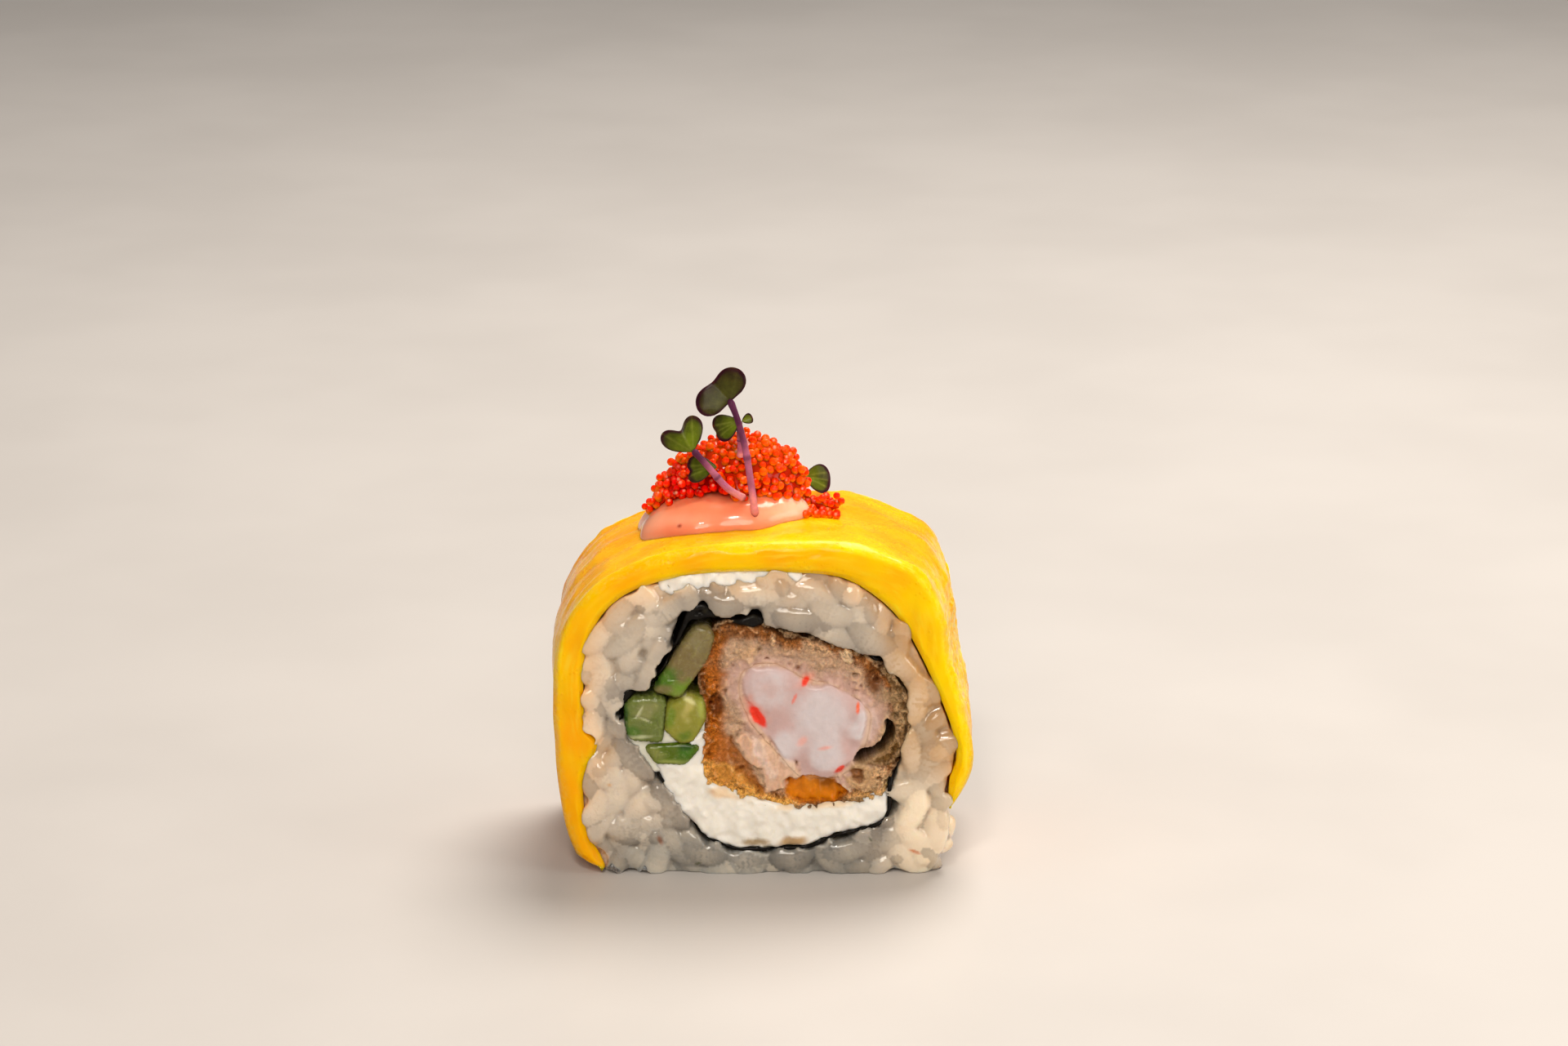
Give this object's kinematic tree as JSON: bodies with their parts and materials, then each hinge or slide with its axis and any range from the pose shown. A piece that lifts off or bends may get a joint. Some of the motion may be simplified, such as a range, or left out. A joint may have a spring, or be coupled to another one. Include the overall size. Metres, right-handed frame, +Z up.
{
  "type": "sushi roll slice",
  "caption": "Slice of an inside-out sushi roll with rice, nori, fried shellfish, cucumber and cream cheese under a mango slice, topped with sauce, roe and sprouts.",
  "frame": {"origin": "middle of the flat rice bottom that the slice stands on", "axes": "+Z up, +Y along the roll's own axis towards the back cut face, +X to the right seen from the front cut face"},
  "size_m": [0.0467, 0.024, 0.0561],
  "materials": {
    "rice": "moist cooked rice, half see-through, with small glints",
    "nori": "dark pressed seaweed, moist and slightly shiny",
    "batter": "fried batter, browned and crumbly at its rim, pale inside",
    "meat": "moist white shellfish meat with red flecks",
    "cucumber": "moist pale green flesh with a dark green skin side",
    "cream": "soft white cream cheese, slightly crumbly",
    "mango": "wet ripe mango flesh with faint pale fibres",
    "sauce": "glossy salmon pink sauce",
    "roe": "clear glossy orange-red eggs",
    "sprout": "green leaves with dark purple rims on mauve stems"
  },
  "bodies": {
    "root": {"rice": "rice", "nori": "nori", "tempura_batter": "batter", "crab_meat": "meat", "cucumber_1": "cucumber", "cucumber_2": "cucumber", "cucumber_3": "cucumber", "cucumber_4": "cucumber", "cream_cheese": "cream", "cream_cheese_top": "cream", "mango_slice": "mango", "sauce": "sauce", "roe": "roe", "sprout_tall": "sprout", "sprout_short": "sprout", "sprout_small": "sprout", "leaf_low": "sprout", "leaf_back": "sprout"}
  },
  "joints": []
}
